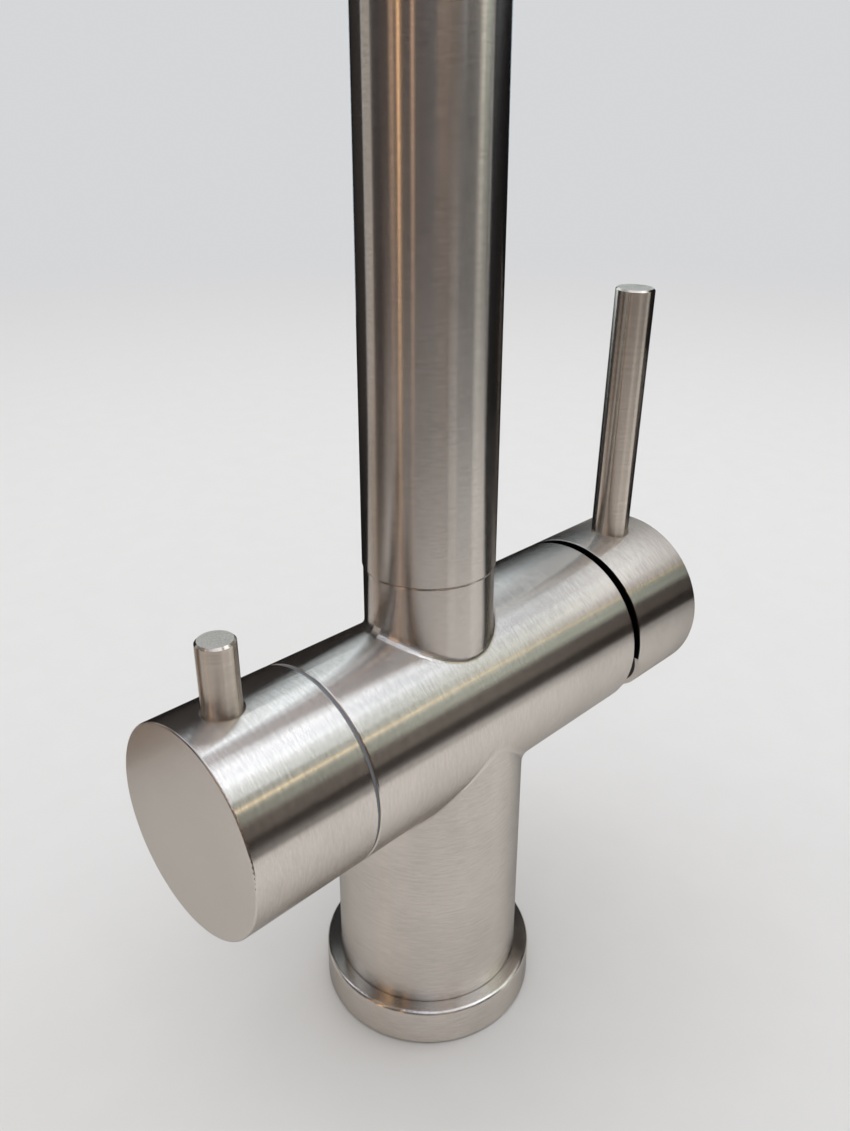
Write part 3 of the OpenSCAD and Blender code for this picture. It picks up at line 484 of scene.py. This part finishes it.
def make_room_cards():
    """The room: each stretch has a floor from its near edge, and a wall of one height."""
    for name, start, end, edge, elevation, tint in (
            ("room_left", 131, 255, WORKTOP_EDGE, 76, (0.06, 0.045, 0.04)),
            ("room_front", 255, 268, None, 62, (0.10, 0.08, 0.07)),
            ("room_middle", 268, 297, 0.42, 45, (0.03, 0.025, 0.025)),
            ("room_right", 297, 322, 0.6, 27, (0.05, 0.045, 0.04))):
        profile = [(edge, FOOT), (ROOM_R, FOOT), (ROOM_R, height_at(ROOM_R, elevation))]
        round_card(name, start, end, profile, tint, steps=48)


def make_strip_cards():
    """Upright strips: the window, the lamps and what else stands in the room."""
    for name, start, end, reach, low, high, tint in (
            ("left_glow", 80, 112, 0.14, 10, 75, (0.05, 0.045, 0.045)),
            ("side_window", 115, 130, 1.3, -3, 40, (0.38, 0.36, 0.33)),
            ("dark_post", 134, 150, 0.30, -60, 76, (0.02, 0.015, 0.015)),
            ("warm_lamp_a", 165, 172, 1.3, 5, 45, (0.75, 0.50, 0.34)),
            ("warm_lamp_b", 177.5, 181, 1.3, 0, 45, (2.2, 1.35, 0.70)),
            ("warm_lamp_c", 198, 201.5, 1.3, 5, 45, (1.3, 0.85, 0.55)),
            ("cupboard", 235, 254, 1.3, 10, 50, (0.24, 0.17, 0.13)),
            ("sill", 299, 307, 1.3, 4, 24, (0.65, 0.60, 0.55)),
            ("window", 305, 322, 1.3, 15, 60, (1.1, 1.25, 1.15))):
        profile = [(reach, height_at(reach, low)), (reach, height_at(reach, high))]
        round_card(name, start, end, profile, tint, steps=12)


def make_flat_cards():
    """A panel beside the mixer knob that faces down, a thin lamp high up in front, and a
    board that lies behind on the left."""
    flat_card("low_panel", [(0.098, 0.05, 0.165), (0.19, 0.05, 0.165),
                            (0.19, -0.10, 0.165), (0.098, -0.10, 0.165)],
              (1.05, 1.05, 1.05), one_sided=True)
    flat_card("thin_lamp", [(-0.6, -0.76, 0.628), (0.85, -0.76, 0.628),
                            (0.85, -0.745, 0.652), (-0.6, -0.745, 0.652)],
              (2.2, 1.8, 1.15))
    flat_card("brown_board", [(-0.10, 0.138, FOOT), (-0.10, 0.55, FOOT),
                              (-0.70, 0.55, FOOT), (-0.70, 0.138, FOOT)],
              (0.26, 0.19, 0.14))


def soft_light(name, place, size, radiance):
    """An area light of the given radiance that faces straight down."""
    data = bpy.data.lights.new(name, "AREA")
    data.shape = "RECTANGLE"
    data.size, data.size_y = size
    data.color = DAYLIGHT
    data.energy = radiance * math.pi * size[0] * size[1]
    lamp = bpy.data.objects.new(name, data)
    lamp.location = place
    bpy.context.scene.collection.objects.link(lamp)


def make_lights():
    """A wide light over the tap, and a small one over the room in front of it."""
    soft_light("ceiling", (0.2, 0.1, 1.5), (2.4, 3.0), 1.05)
    soft_light("ceiling_lamp", (0.95, -0.5, 1.45), (1.2, 0.55), 0.8)


def make_world():
    """A pale surround for camera and reflections, and the plain light of the room."""
    world = bpy.data.worlds.new("studio")
    bpy.context.scene.world = world
    graph = Graph(world, output="ShaderNodeOutputWorld")
    surround = graph.mix(seen_ray(graph), colour(ROOM_LIGHT), colour(BACKDROP))
    graph.show(graph.add("ShaderNodeBackground", {"Color": surround}).outputs[0])


def make_camera():
    """The camera that was fitted to the photograph's outlines."""
    place = Vector((-149.53 * MM, -148.49 * MM, 223.72 * MM))
    yaw, pitch, roll = 0.7867, 0.3876, 0.0025
    focal_px, centre_px = 986.14, (426.97, 508.59)
    width_px, height_px = 850, 1131
    forward = Vector((math.sin(yaw) * math.cos(pitch), math.cos(yaw) * math.cos(pitch),
                      -math.sin(pitch)))
    level = Vector((math.cos(yaw), -math.sin(yaw), 0.0))
    upward = level.cross(forward)
    right = math.cos(roll) * level + math.sin(roll) * upward
    up = math.cos(roll) * upward - math.sin(roll) * level
    data = bpy.data.cameras.new("camera")
    data.sensor_width = 36.0
    data.lens = focal_px / height_px * data.sensor_width
    data.shift_x = (width_px / 2 - centre_px[0]) / height_px
    data.shift_y = (centre_px[1] - height_px / 2) / height_px
    data.clip_start = 0.01
    camera = bpy.data.objects.new("camera", data)
    bpy.context.scene.collection.objects.link(camera)
    turn = Matrix((right, up, -forward)).transposed().to_4x4()
    camera.matrix_world = Matrix.Translation(place) @ turn
    bpy.context.scene.camera = camera


bpy.context.scene.view_settings.view_transform = "Standard"
make_camera()
dress_nodes()
make_floor()
make_wall_cards()
make_room_cards()
make_strip_cards()
make_flat_cards()
make_lights()
make_world()
